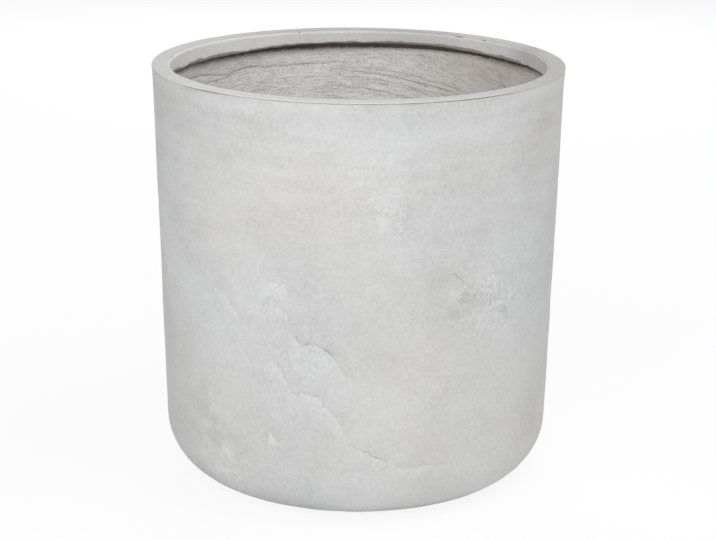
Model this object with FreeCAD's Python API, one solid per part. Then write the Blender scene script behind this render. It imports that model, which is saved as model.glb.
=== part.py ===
import FreeCAD, Part
import math
import os

# Round fibre-cement floor planter, laid up in a mould from the outside inwards:
# a fine face shell, a layer of glass-fibre mat and a hand-laid lining. A cast collar
# caps the wall, laps down inside it and overhangs the lining. A rubber plug closes
# the drain hole in the floor.
# Millimetres, +Z up. The origin is the centre of the plane that the pot stands on.

# Outer form
rim_diameter = 500.0
height = 512.0
wall_taper = 12.2  # radius lost from the rim down to the standing plane
base_edge_radius = 70.0

# Layers of the wall, measured square to it
shell_thickness = 4.0
mat_thickness = 1.0
lining_thickness = 6.0

# Floor and underside
lining_floor_thickness = 9.0
floor_fall = 2.0  # the inner floor drops this much from the wall to the drain
standing_ring_width = 22.0
underside_recess = 3.0
recess_ramp_width = 18.0
recess_blend_radius = 30.0

# Rim collar
rim_width = 22.0
collar_depth = 22.0
collar_lip_radius = 5.0
cap_thickness = 2.4  # what lies over the top edge of the wall, down to the seam
cap_overhang = 0.8
rim_outer_edge_radius = 1.2
rim_inner_edge_radius = 2.4
seam_edge_radius = 0.8
lining_edge_radius = 2.0

# Drain hole and its plug
drain_diameter = 24.0
drain_edge_radius = 1.5
drain_seat_margin = 4.0  # flat floor left round the plug's flange
plug_clearance = 0.3
flange_overlap = 8.0
flange_thickness = 3.5
flange_edge_radius = 1.2
plug_end_gap = 1.0  # the plug ends this far above the underside
rib_count = 3
rib_height = 1.6
rib_land = 1.1
plug_wall = 3.2

rim_radius = rim_diameter / 2
drain_radius = drain_diameter / 2
mouth_radius = rim_radius - rim_width
slope = wall_taper / height
slant = math.hypot(1.0, slope)
seam_height = height - cap_thickness
lip_height = height - collar_depth
mat_depth = shell_thickness
lining_depth = shell_thickness + mat_thickness
wall_thickness = lining_depth + lining_thickness
seat_height = underside_recess + lining_depth + lining_floor_thickness
flange_radius = drain_radius + flange_overlap


def wall_radius(depth, level):
    """Radius of the surface that lies this deep in the wall, at a level above the ground."""
    return rim_radius - cap_overhang - wall_taper + slope * level - depth * slant


def rounded_edges(corners):
    """Edges of a closed profile from (radius, level, rounding) corners, with tangent arcs."""
    points = [FreeCAD.Vector(r, 0, z) for r, z, rounding in corners]
    spans = []
    for i, (r, z, rounding) in enumerate(corners):
        here = points[i]
        back = (points[i - 1] - here).normalize()
        ahead = (points[(i + 1) % len(points)] - here).normalize()
        if rounding == 0:
            spans.append((here, None, here))
            continue
        half_angle = back.getAngle(ahead) / 2
        reach = rounding / math.tan(half_angle)
        bisector = (back + ahead).normalize()
        centre = here + bisector * (rounding / math.sin(half_angle))
        spans.append((here + back * reach, centre - bisector * rounding, here + ahead * reach))
    edges = []
    for i, (start, middle, end) in enumerate(spans):
        if middle is not None:
            edges.append(Part.Arc(start, middle, end).toShape())
        following = spans[(i + 1) % len(spans)][0]
        edges.append(Part.LineSegment(end, following).toShape())
    return edges


def turned(corners):
    """Solid of revolution about the pot's axis, from a closed profile."""
    face = Part.Face(Part.Wire(rounded_edges(corners)))
    solid = face.revolve(FreeCAD.Vector(0, 0, 0), FreeCAD.Vector(0, 0, 1), 360)
    if solid.Volume < 0:
        solid.reverse()
    return solid


def cup_line(depth, drain_rounding=0.0):
    """Corners of a layer's surface, from the drain hole out to the rounded bottom edge."""
    ring_outer = wall_radius(0, 0) + slope * base_edge_radius - base_edge_radius * slant
    ring_inner = ring_outer - standing_ring_width
    raised = underside_recess + depth
    return [
        (drain_radius, raised, drain_rounding),
        (ring_inner - recess_ramp_width, raised, recess_blend_radius),
        (ring_inner, depth, recess_blend_radius),
        (wall_radius(depth, depth), depth, base_edge_radius - depth),
    ]


def make_face_shell():
    """Face coat of the wall, the rounded bottom edge and the underside with its standing ring."""
    outside = cup_line(0, drain_edge_radius)
    inside = cup_line(mat_depth)
    top = [
        (wall_radius(0, seam_height), seam_height, seam_edge_radius),
        (wall_radius(mat_depth, seam_height), seam_height, 0),
    ]
    return turned(outside + top + inside[::-1])


def make_glass_fibre_mat():
    """Mat between the face coat and the lining, up to the underside of the collar."""
    outside = cup_line(mat_depth)
    inside = cup_line(lining_depth)
    top = [
        (wall_radius(mat_depth, lip_height), lip_height, 0),
        (wall_radius(lining_depth, lip_height), lip_height, 0),
    ]
    return turned(outside + top + inside[::-1])


def make_fibre_lining():
    """Hand-laid lining with a floor that falls to a flat seat round the drain hole."""
    outside = cup_line(lining_depth)
    edge_height = seat_height + floor_fall
    inside = [
        (wall_radius(lining_depth, lip_height), lip_height, 0),
        (wall_radius(wall_thickness, lip_height), lip_height, lining_edge_radius),
        (wall_radius(wall_thickness, edge_height), edge_height, base_edge_radius - wall_thickness),
        (flange_radius + drain_seat_margin, seat_height, 0),
        (drain_radius, seat_height, 0),
    ]
    return turned(outside + inside)


def make_rim_collar():
    """Ring that caps the wall above the seam and laps down inside it over the lining."""
    return turned([
        (mouth_radius, lip_height, collar_lip_radius),
        (wall_radius(mat_depth, lip_height), lip_height, 0),
        (wall_radius(mat_depth, seam_height), seam_height, 0),
        (rim_radius, seam_height, seam_edge_radius),
        (rim_radius, height, rim_outer_edge_radius),
        (mouth_radius, height, rim_inner_edge_radius),
    ])


def make_drain_plug():
    """Flanged rubber stopper with barbed ribs, hollow from below."""
    rib_radius = drain_radius - plug_clearance
    core_radius = rib_radius - rib_height
    hollow_radius = core_radius - plug_wall
    plug_end = underside_recess + plug_end_gap
    rib_pitch = (seat_height - plug_end) / rib_count
    corners = [(hollow_radius, plug_end, 0)]
    for rib in range(rib_count):
        root = plug_end + rib * rib_pitch
        crest = root + rib_pitch / 2
        corners += [
            (core_radius, root, 0),
            (rib_radius, crest, 0),
            (rib_radius, crest + rib_land, 0),
            (core_radius, crest + rib_land, 0),
        ]
    flange_top = seat_height + flange_thickness
    corners += [
        (core_radius, seat_height, 0),
        (flange_radius, seat_height, 0),
        (flange_radius, flange_top, flange_edge_radius),
        (0, flange_top, 0),
        (0, seat_height, 0),
        (hollow_radius, seat_height, 0),
    ]
    return turned(corners)


pieces = {
    "face_shell": make_face_shell(),
    "glass_fibre_mat": make_glass_fibre_mat(),
    "fibre_lining": make_fibre_lining(),
    "rim_collar": make_rim_collar(),
    "drain_plug": make_drain_plug(),
}

os.makedirs("parts", exist_ok=True)
for name, solid in pieces.items():
    solid.exportStep("parts/" + name + ".step")
    box = solid.BoundBox
    print(name, solid.isValid(), round(solid.Volume / 1000.0, 1), "cm3, z", round(box.ZMin, 2), round(box.ZMax, 2))
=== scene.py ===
"""Dresses a round fibre-cement floor planter.

A washed cement wall stands under a cast rim collar, with a hand-brushed lining inside and a rubber plug
in the drain hole of its floor. Every layer is a profile turned round the pot's axis and then given the
unevenness that hand work leaves.
"""

import itertools
import logging
import math
from dataclasses import dataclass, replace
from enum import Enum
from typing import Sequence, TypeVar

import bmesh
import bpy
import numpy as np
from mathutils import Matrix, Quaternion, Vector

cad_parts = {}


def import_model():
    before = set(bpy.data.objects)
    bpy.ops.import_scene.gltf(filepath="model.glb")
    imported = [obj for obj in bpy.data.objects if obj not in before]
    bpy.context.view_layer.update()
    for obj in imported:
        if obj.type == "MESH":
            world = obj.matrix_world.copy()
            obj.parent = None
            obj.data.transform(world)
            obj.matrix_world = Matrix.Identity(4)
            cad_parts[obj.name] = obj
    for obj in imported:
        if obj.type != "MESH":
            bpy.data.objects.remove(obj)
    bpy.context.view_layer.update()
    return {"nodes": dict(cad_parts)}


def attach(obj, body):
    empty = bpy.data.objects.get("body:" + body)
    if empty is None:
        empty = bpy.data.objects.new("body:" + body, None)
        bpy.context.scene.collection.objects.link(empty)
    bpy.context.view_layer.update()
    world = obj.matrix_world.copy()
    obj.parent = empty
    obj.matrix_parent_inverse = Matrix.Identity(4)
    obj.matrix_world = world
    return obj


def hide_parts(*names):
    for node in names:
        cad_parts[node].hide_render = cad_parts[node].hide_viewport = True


LOG = logging.getLogger("planter")

Array = np.ndarray
Colour = tuple[int, int, int]
Route = tuple[tuple[float, float], ...]
Span = tuple[float, float]
Socket = bpy.types.NodeSocket
Value = Socket | float
Feed = Value | Sequence[float]
Inputs = dict[str | int, Feed]

MILLIMETRE = 0.001
WHITE = (1.0, 1.0, 1.0, 1.0)
NOISE_MIDDLE = 0.5
TONE_STOPS = (0.22, 0.5, 0.78)


class Body(Enum):
    """Rigid bodies of the frame that the pieces ride on."""

    POT = "pot"
    PLUG = "plug"


class Node(Enum):
    """Construction solids of the frame."""

    SHELL = "face_shell"
    MAT = "glass_fibre_mat"
    LINING = "fibre_lining"
    COLLAR = "rim_collar"
    PLUG = "drain_plug"


class Slot(Enum):
    """Material slots of the record; nothing here gives them to the pieces."""

    WASHED = "washed_cement"
    CAST = "cast_cement"
    BRUSHED = "brushed_cement"
    RUBBER = "rubber"


class Sum(Enum):
    """Arithmetic that the finishes use between two values."""

    ADD = "ADD"
    TAKE = "SUBTRACT"
    TIMES = "MULTIPLY"
    MOST = "MAXIMUM"
    SIZE = "ABSOLUTE"


def linear(colour: Colour) -> tuple[float, float, float, float]:
    """Scene-linear colour with full alpha of a screen colour, by the standard screen curve.

    Args:
        colour: red, green and blue from 0 to 255.

    Returns:
        Red, green, blue and alpha from 0 to 1.
    """
    parts = np.array(colour) / 255.0
    bent = np.where(parts <= 0.04045, parts / 12.92, ((parts + 0.055) / 1.055) ** 2.4)
    return (float(bent[0]), float(bent[1]), float(bent[2]), 1.0)


def smooth(low: float, high: float, value: Array) -> Array:
    """Smooth step from 0 at low to 1 at high, 3 t^2 - 2 t^3 of the share t between them."""
    share = np.clip((value - low) / (high - low), 0.0, 1.0)
    return share * share * (3.0 - 2.0 * share)


def unit(vector: Array) -> Array:
    """The vectors along the last axis, each divided by its length."""
    return vector / np.linalg.norm(vector, axis=-1, keepdims=True)


def turn_from(middle: float, angle: Array) -> Array:
    """Angles measured from a middle one, each brought to within half a turn of it."""
    return (angle - middle + math.pi) % (2.0 * math.pi) - math.pi


@dataclass(frozen=True)
class Grain:
    """Smooth gradient noise on a cubic lattice, the same on every run."""

    seed: int
    octave_gain: float = 0.5
    loudness: float = 1.6

    def _slope(self, cells: Array, axis: int) -> Array:
        """One component, from -1 to 1, of each lattice point's gradient, hashed from its place.

        Args:
            cells: lattice points, with their three whole coordinates along the last axis.
            axis: which component.

        Returns:
            Values from -1 to 1, one for each lattice point.
        """
        primes = np.array([73856093, 19349663, 83492791], dtype=np.uint32)
        seed_step, axis_step = 9781, 6271
        first_mix, second_mix = np.uint32(2246822519), np.uint32(3266489917)
        half_range = 2147483647.5
        mixed = np.bitwise_xor.reduce(cells.astype(np.uint32) * primes, axis=-1)
        mixed = mixed ^ np.uint32(self.seed * seed_step + axis * axis_step)
        mixed = (mixed ^ (mixed >> 15)) * first_mix
        mixed = (mixed ^ (mixed >> 13)) * second_mix
        mixed = mixed ^ (mixed >> 16)
        return mixed.astype(np.float64) / half_range - 1.0

    def at(self, points: Array, size: float) -> Array:
        """Noise of one size: each lattice point's gradient times the way to it, blended by a quintic step.

        Args:
            points: places in metres, with the three coordinates along the last axis.
            size: spacing of the lattice in metres.

        Returns:
            Values of about -1 to 1, one for each place.
        """
        cells = points / size
        base = np.floor(cells)
        part = cells - base
        fade = part ** 3 * (part * (part * 6.0 - 15.0) + 10.0)
        base = base.astype(np.int64)
        total = np.zeros(points.shape[:-1])
        for corner in itertools.product((0, 1), repeat=3):
            step = np.array(corner)
            weight = np.prod(np.where(step == 1, fade, 1.0 - fade), axis=-1)
            way = part - step
            rise = sum(self._slope(base + step, axis) * way[..., axis] for axis in range(3))
            total += weight * rise
        return total * self.loudness

    def clouds(self, points: Array, size: float, octaves: int) -> Array:
        """Sum of noises, each half the size of the one before and weaker by the octave gain.

        Args:
            points: places in metres.
            size: spacing of the coarsest lattice in metres.
            octaves: how many noises are added.

        Returns:
            Values of about -1 to 1, one for each place.
        """
        total = np.zeros(points.shape[:-1])
        for octave in range(octaves):
            total += self.at(points, size / 2 ** octave) * self.octave_gain ** octave
        return total


@dataclass(frozen=True)
class Corner:
    """A corner of a turned profile, its rounding and the row spacing on the run that leaves it."""

    radius: float
    level: float
    rounding: float
    spacing: float
    arc_spacing: float = 0.0006


def rounded_profile(corners: Sequence[Corner], least_rows: int = 3) -> Array:
    """Rows of a closed profile whose corners are rounded by arcs that touch the runs.

    An arc starts rounding / tan(half the corner's angle) before the corner, turns about a centre on the
    bisector and ends as far beyond it. The straight runs between arcs are divided evenly.

    Args:
        corners: corners in anticlockwise order, radius to the right and level upwards.
        least_rows: fewest rows on an arc.

    Returns:
        Radius and level of each row.
    """
    places = np.array([(corner.radius, corner.level) for corner in corners])
    arcs = []
    for index, corner in enumerate(corners):
        here = places[index]
        if corner.rounding == 0.0:
            arcs.append(here[None, :])
            continue
        back = unit(places[index - 1] - here)
        ahead = unit(places[(index + 1) % len(places)] - here)
        half = math.acos(float(np.clip(back @ ahead, -1.0, 1.0))) / 2.0
        bisector = unit(back + ahead)
        centre = here + bisector * corner.rounding / math.sin(half)
        turn = math.pi - 2.0 * half
        count = max(least_rows, math.ceil(corner.rounding * turn / corner.arc_spacing) + 1)
        sweep = np.linspace(-turn / 2.0, turn / 2.0, count)[:, None]
        bow = np.sin(sweep) * unit(ahead - back) - np.cos(sweep) * bisector
        arcs.append(centre + corner.rounding * bow)
    rows = []
    for index, corner in enumerate(corners):
        start, end = arcs[index][-1], arcs[(index + 1) % len(arcs)][0]
        count = max(1, round(float(np.linalg.norm(end - start)) / corner.spacing))
        shares = (np.arange(1, count) / count)[:, None]
        rows.append(arcs[index])
        rows.append(start + (end - start) * shares)
    return np.concatenate(rows)


class TurnedSkin:
    """A closed profile carried round the upright axis, as a grid of rows by columns.

    A point is (radius sin angle, -radius cos angle, level), so angle 0 faces the front and grows to the
    right.
    """

    def __init__(self, corners: Sequence[Corner], columns: int) -> None:
        """Lay out the grid.

        Args:
            corners: corners of the closed profile, in anticlockwise order.
            columns: number of columns round the axis.
        """
        profile = rounded_profile(corners)
        ahead = unit(np.roll(profile, -1, axis=0) - profile)
        along = unit(ahead + np.roll(ahead, 1, axis=0))
        steps = np.linalg.norm(np.diff(profile, axis=0), axis=1)
        self.radius = np.repeat(profile[:, :1], columns, axis=1)
        self.level = np.repeat(profile[:, 1:], columns, axis=1)
        self.outward = np.repeat(along[:, 1:], columns, axis=1)
        self.upward = np.repeat(-along[:, :1], columns, axis=1)
        self.run = np.repeat(np.concatenate([[0.0], np.cumsum(steps)])[:, None], columns, axis=1)
        turn = np.linspace(-math.pi, math.pi, columns, endpoint=False)
        self.angle = np.repeat(turn[None, :], len(profile), axis=0)

    def points(self, swell: Array | float = 0.0, lift: Array | float = 0.0) -> Array:
        """Places of the grid, moved along the profile's normal by swell and straight up by lift.

        Args:
            swell: metres along the normal.
            lift: metres upwards.

        Returns:
            Rows by columns by three coordinates.
        """
        radius = self.radius + self.outward * swell
        level = self.level + self.upward * swell + lift
        return np.stack([radius * np.sin(self.angle), -radius * np.cos(self.angle), level], axis=-1)

    def stretched(self, across: Array, squeeze: float = 1.0) -> Array:
        """Places on a thinner pot of the same turn, on which round noise becomes long streaks.

        Args:
            across: what stands for the height, in metres.
            squeeze: the thinner pot's radius as a share of the real one.

        Returns:
            Places with the three coordinates along the last axis.
        """
        radius = self.radius * squeeze
        return np.stack([radius * np.sin(self.angle), -radius * np.cos(self.angle), across], axis=-1)

    def flattened(self) -> Array:
        """Places of the grid brought to level 0, where noise is the same all the way up a wall."""
        return self.stretched(np.zeros(self.level.shape))

    def round_table(self, places: Array) -> Array:
        """Value at each grid point, by straight lines through values at angles in degrees round the pot."""
        return np.interp(np.degrees(self.angle), places[:, 0], places[:, 1])


def closed_quads(rows: int, columns: int) -> Array:
    """Corner indices of the quads of a grid that closes on itself both ways.

    Args:
        rows: number of rows.
        columns: number of columns.

    Returns:
        Quads by four indices.
    """
    here = np.arange(rows * columns).reshape(rows, columns)
    right = np.roll(here, -1, axis=1)
    across, above = np.roll(right, -1, axis=0), np.roll(here, -1, axis=0)
    return np.stack([here, right, across, above], axis=-1).reshape(-1, 4)


def make_piece(name: str, points: Array, fields: dict[str, Array] | None = None) -> bpy.types.Object:
    """Smooth mesh object of a grid that closes on itself both ways.

    Args:
        name: name of the piece.
        points: rows by columns by three coordinates in metres.
        fields: values for each grid point that the finish reads, by name.

    Returns:
        The new object, at the origin.
    """
    rows, columns = points.shape[:2]
    return make_mesh(name, points.reshape(-1, 3), closed_quads(rows, columns), fields or {})


def make_mesh(name: str, places: Array, quads: Array, fields: dict[str, Array]) -> bpy.types.Object:
    """Smooth mesh object of quads.

    Args:
        name: name of the piece.
        places: vertices by three coordinates in metres.
        quads: faces by four vertex indices.
        fields: values for each vertex that the finish reads, by name.

    Returns:
        The new object, at the origin.
    """
    mesh = bpy.data.meshes.new(name)
    mesh.vertices.add(len(places))
    mesh.vertices.foreach_set("co", places.astype(np.float32).ravel())
    mesh.loops.add(quads.size)
    mesh.loops.foreach_set("vertex_index", quads.astype(np.int32).ravel())
    mesh.polygons.add(len(quads))
    mesh.polygons.foreach_set("loop_start", np.arange(0, quads.size, 4, dtype=np.int32))
    mesh.polygons.foreach_set("use_smooth", np.ones(len(quads), dtype=bool))
    mesh.update(calc_edges=True)
    for field_name, values in fields.items():
        layer = mesh.attributes.new(field_name, "FLOAT", "POINT")
        layer.data.foreach_set("value", values.astype(np.float32).ravel())
    piece = bpy.data.objects.new(name, mesh)
    bpy.context.scene.collection.objects.link(piece)
    return piece


def close_poles(piece: bpy.types.Object, reach: float = 1e-6) -> None:
    """Merge the vertices of a piece that lie on one point, as on a row on the axis, and drop bare edges.

    Args:
        piece: piece to merge.
        reach: distance in metres within which vertices are one.
    """
    mesh = bmesh.new()
    mesh.from_mesh(piece.data)
    bmesh.ops.remove_doubles(mesh, verts=mesh.verts, dist=reach)
    bare = [edge for edge in mesh.edges if not edge.link_faces]
    bmesh.ops.delete(mesh, geom=bare, context="EDGES")
    mesh.to_mesh(piece.data)
    mesh.free()


def smooth_route(route: Route, steps: int = 12) -> Array:
    """Points along a Catmull-Rom curve through the route's points.

    Each span is the cubic whose slopes at its ends are half the way between the points on either side.

    Args:
        route: points of two coordinates each.
        steps: points for each span.

    Returns:
        Points by two coordinates.
    """
    knots = np.array(route, dtype=float)
    first = 2.0 * knots[0] - knots[1]
    last = 2.0 * knots[-1] - knots[-2]
    held = np.vstack([first, knots, last])
    share = (np.arange(steps) / steps)[None, :, None]
    before, start, end, after = (held[i:len(held) - 3 + i, None, :] for i in range(4))
    bend = (
        start * 2.0
        + (end - before) * share
        + (before * 2.0 - start * 5.0 + end * 4.0 - after) * share ** 2
        + (start * 3.0 - before - end * 3.0 + after) * share ** 3
    ) / 2.0
    return np.vstack([bend.reshape(-1, 2), knots[-1:]])


@dataclass(frozen=True)
class Crease:
    """A crease where a tongue of wet cement came to rest against the coat above it.

    The wall sinks towards the crease from above, and the tongue comes out of it below and swells. The route
    is in degrees round from the front and millimetres above the ground, and has the tongue on its right. The
    line is how dark the painted shade in the crease is, in even steps along it. The side is 1 on the outside
    of a layer and -1 on its inside. A crease under the full depth gets weaker painted shade and light. A fade
    gives the distance at which a mark is gone, and the one up to which it is whole.
    """

    route: Route
    depth: float
    line: tuple[float, ...] = (0.5,)
    upper_reach: float = 0.014
    lower_reach: float = 0.005
    swell_share: float = 0.7
    swell_rise: float = 0.010
    swell_reach: float = 0.035
    end_share: float = 0.2
    tip_share: float = 0.02
    overrun: float = 0.003
    overrun_fade: Span = (0.030, 0.010)
    shade_fade: Span = (0.028, 0.008)
    line_fade: Span = (0.012, 0.006)
    margin: float = 0.06
    side: float = 1.0
    full_depth: float = 0.0010
    route_steps: int = 8

    def moved(self, degrees: float, lift: float, mirrored: bool = False) -> "Crease":
        """The same crease further round the pot and higher up, by degrees and millimetres.

        Args:
            degrees: how far round it moves.
            lift: how far up it moves, in millimetres.
            mirrored: True to turn its left to its right first.

        Returns:
            The moved crease, with the tongue still below it.
        """
        side = -1.0 if mirrored else 1.0
        points = tuple((side * angle + degrees, level + lift) for angle, level in self.route)
        return replace(self, route=points[::-1] if mirrored else points)

    def distance(self, skin: TurnedSkin, wander: Array) -> tuple[Array, Array, Array]:
        """How far each grid point lies from the crease, and how strong and how dark the crease is there.

        The distance is measured across the nearest point of the route, positive above it, and the strength
        rises from 0 at either end of the route.

        Args:
            skin: grid of the wall.
            wander: metres to shift the distance by, which makes the crease ragged.

        Returns:
            Signed distance in metres, strength and darkness from 0 to 1, all by rows and columns.
        """
        route = smooth_route(self.route, self.route_steps)
        radius = float(skin.radius.max())
        middle = math.radians(float(np.mean(route[:, 0])))
        line = np.stack([(np.radians(route[:, 0]) - middle) * radius, route[:, 1] * MILLIMETRE], axis=-1)
        along = unit(np.gradient(line, axis=0))
        low, high = line.min(axis=0) - self.margin, line.max(axis=0) + self.margin
        flat = np.stack([turn_from(middle, skin.angle) * radius, skin.level], axis=-1)
        near = np.all((flat > low) & (flat < high), axis=-1) & (skin.outward * self.side > 0.0)
        spots = flat[near]
        gaps = np.linalg.norm(spots[:, None, :] - line[None, :, :], axis=-1)
        nearest = np.argmin(gaps, axis=1)
        way = spots - line[nearest]
        direction = along[nearest]
        across = direction[:, 0] * way[:, 1] - direction[:, 1] * way[:, 0] + wander[near]
        beyond = np.maximum(np.abs(np.sum(direction * way, axis=-1)) - self.overrun, 0.0)
        share = nearest / (len(line) - 1)
        distance = np.full(skin.level.shape, self.margin)
        strength, dark = np.zeros(skin.level.shape), np.zeros(skin.level.shape)
        distance[near] = np.where(across >= 0.0, 1.0, -1.0) * np.hypot(across, beyond)
        rising = smooth(0.0, self.end_share, np.minimum(share, 1.0 - share) + self.tip_share)
        strength[near] = rising * smooth(*self.overrun_fade, beyond)
        dark[near] = np.interp(share, np.linspace(0.0, 1.0, len(self.line)), self.line)
        return distance, strength, dark

    def relief(self, distance: Array, strength: Array) -> Array:
        """Height of the wall about the crease.

        Above it the height is minus depth times a fading exponential. Below it a faster exponential is joined
        by the swell of the tongue, which rises over one length and fades over a longer one.

        Args:
            distance: signed distance from the crease in metres.
            strength: strength of the crease from 0 to 1.

        Returns:
            Height in metres for each place.
        """
        up, down = np.maximum(distance, 0.0), np.minimum(distance, 0.0)
        above = -self.depth * np.exp(-up / self.upper_reach)
        swell = (1.0 - np.exp(down / self.swell_rise)) * np.exp(down / self.swell_reach) * self.swell_share
        below = self.depth * (swell - np.exp(down / self.lower_reach))
        return np.where(distance >= 0.0, above, below) * strength


@dataclass(frozen=True)
class Spot:
    """A round place on the wall that stands proud or sinks, blooms pale with lime, is rough or is stained.

    It lies by degrees round from the front and millimetres above the ground. Its radius and height are in
    metres, and the rest are shares.
    """

    angle: float
    level: float
    radius: float
    height: float = 0.0
    bloom: float = 0.0
    rough: float = 0.0
    stain: float = 0.0

    def moved(self, degrees: float, lift: float, mirrored: bool = False) -> "Spot":
        """The same spot further round the pot and higher up, by degrees and millimetres.

        Args:
            degrees: how far round it moves.
            lift: how far up it moves, in millimetres.
            mirrored: True to turn its left to its right first.

        Returns:
            The moved spot.
        """
        side = -1.0 if mirrored else 1.0
        return replace(self, angle=side * self.angle + degrees, level=self.level + lift)

    def bell(self, skin: TurnedSkin) -> Array:
        """Share of the spot at each grid point: a bell curve of the distance along the wall.

        Args:
            skin: grid of the wall.

        Returns:
            Values from 0 to 1, by rows and columns.
        """
        across = turn_from(math.radians(self.angle), skin.angle) * skin.radius
        up = skin.level - self.level * MILLIMETRE
        return np.exp(-(across ** 2 + up ** 2) / self.radius ** 2) * (skin.outward > 0.0)


Mark = TypeVar("Mark", Crease, Spot)


@dataclass
class FoldField:
    """What the creases on a layer add up to at each grid point: their relief, and what the finish reads."""

    relief: Array
    side: Array
    soft: Array
    line: Array

    @classmethod
    def gathered(
        cls,
        creases: Sequence[Crease],
        skin: TurnedSkin,
        wander: Array,
        uneven: Array | float = 1.0,
        settling: Span = (0.001, 0.007),
    ) -> "FoldField":
        """Sum of the creases' relief, with the distance from the nearest one and its strength.

        The strength fades where the nearest crease above and the nearest one below are equally far, because
        the distance changes sign there with no crease between.

        Args:
            creases: creases on the layer.
            skin: grid of the layer.
            wander: metres by which the creases stray.
            uneven: share of each crease's strength from place to place.
            settling: difference between those two distances at which the strength is none and is whole.

        Returns:
            The fields, all by rows and columns.
        """
        shape = skin.level.shape
        fields = cls(np.zeros(shape), np.ones(shape), np.zeros(shape), np.zeros(shape))
        above, below = np.ones(shape), np.ones(shape)
        for crease in creases:
            distance, share, dark = crease.distance(skin, wander)
            share = share * uneven
            fields.relief += crease.relief(distance, share)
            reach = np.abs(distance)
            above = np.where(distance >= 0.0, np.minimum(above, reach), above)
            below = np.where(distance < 0.0, np.minimum(below, reach), below)
            closer = reach < np.abs(fields.side)
            fields.side = np.where(closer, distance, fields.side)
            # soft carries the strength of the crease's step and of the painted shade, light and highlight
            # beside it; line carries the darkness of its painted shade line.
            shade = share * min(1.0, crease.depth / crease.full_depth)
            fields.soft = np.where(closer, shade * smooth(*crease.shade_fade, reach), fields.soft)
            fields.line = np.where(closer, share * dark * smooth(*crease.line_fade, reach), fields.line)
        settled = smooth(*settling, np.abs(above - below))
        fields.soft *= settled
        fields.line *= settled
        return fields


@dataclass(frozen=True)
class PotForm:
    """Sizes that the layers of the pot share, in metres."""

    rim_radius: float = 0.250
    height: float = 0.512
    wall_taper: float = 0.0122
    cap_overhang: float = 0.0008
    base_edge_radius: float = 0.070
    standing_ring_width: float = 0.022
    underside_recess: float = 0.003
    recess_ramp_width: float = 0.018
    recess_blend_radius: float = 0.030
    drain_radius: float = 0.012
    shell_thickness: float = 0.004
    mat_thickness: float = 0.001
    lining_thickness: float = 0.006
    floor_thickness: float = 0.009
    floor_fall: float = 0.002
    cap_thickness: float = 0.0024
    collar_depth: float = 0.022
    rim_width: float = 0.022
    flange_radius: float = 0.020
    bend_spacing: float = 0.020

    @property
    def seam_level(self) -> float:
        """Level of the seam under the rim's cap."""
        return self.height - self.cap_thickness

    @property
    def lip_level(self) -> float:
        """Level of the collar's lower lip inside the mouth."""
        return self.height - self.collar_depth

    @property
    def mouth_radius(self) -> float:
        """Radius of the mouth inside the rim."""
        return self.rim_radius - self.rim_width

    @property
    def lining_depth(self) -> float:
        """Depth of the lining's hidden side below the face of the wall."""
        return self.shell_thickness + self.mat_thickness

    @property
    def seat_level(self) -> float:
        """Level of the flat floor round the drain hole."""
        return self.underside_recess + self.lining_depth + self.floor_thickness

    def wall_radius(self, depth: float, level: float) -> float:
        """Radius of the surface that lies this deep in the tapered wall, at a level above the ground.

        Args:
            depth: depth below the face of the wall.
            level: height above the ground.

        Returns:
            The radius in metres.
        """
        slope = self.wall_taper / self.height
        face = self.rim_radius - self.cap_overhang - self.wall_taper + slope * level
        return face - depth * math.hypot(1.0, slope)

    def cup_line(self, depth: float, edge: float, spacing: float) -> list[Corner]:
        """Corners of a layer's surface from the drain hole out to the rounded bottom edge.

        Args:
            depth: depth of the surface below the face of the wall.
            edge: rounding at the drain hole.
            spacing: row spacing over the bottom.

        Returns:
            Corners in order outwards; the run after the last one leads up the wall.
        """
        ring_outer = self.wall_radius(0.0, self.base_edge_radius) - self.base_edge_radius
        ring_inner = ring_outer - self.standing_ring_width
        raised = self.underside_recess + depth
        bend = self.recess_blend_radius
        base_rounding = self.base_edge_radius - depth
        return [
            Corner(self.drain_radius, raised, edge, spacing),
            Corner(ring_inner - self.recess_ramp_width, raised, bend, spacing, self.bend_spacing),
            Corner(ring_inner, depth, bend, spacing, self.bend_spacing),
            Corner(self.wall_radius(depth, depth), depth, base_rounding, spacing, self.bend_spacing),
        ]


class NodeSheet:
    """Node tree with short calls for what the finishes and the studio share."""

    def __init__(self, tree: bpy.types.NodeTree) -> None:
        """Start with the tree empty."""
        self.tree = tree
        self.tree.nodes.clear()

    def feed(self, socket: Socket, value: Feed) -> None:
        """Join a value to a socket, or set the socket to a plain number or colour."""
        if isinstance(value, Socket):
            self.tree.links.new(value, socket)
        else:
            socket.default_value = value

    def node(self, kind: str, inputs: Inputs | None = None) -> bpy.types.Node:
        """New node of a kind, with the inputs that are named or numbered here joined or set.

        Args:
            kind: the node's type, without the part that all shader nodes share.
            inputs: what goes into each input.

        Returns:
            The node.
        """
        node = self.tree.nodes.new("ShaderNode" + kind)
        for name, value in (inputs or {}).items():
            self.feed(node.inputs[name], value)
        return node

    def reckon(self, operation: Sum, first: Value, second: Value = 0.0) -> Socket:
        """Result of one arithmetic step on two values.

        Args:
            operation: the step.
            first: first value.
            second: second value, where the step has one.

        Returns:
            The result's socket.
        """
        node = self.node("Math", {0: first, 1: second})
        node.operation = operation.value
        return node.outputs["Value"]


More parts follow.
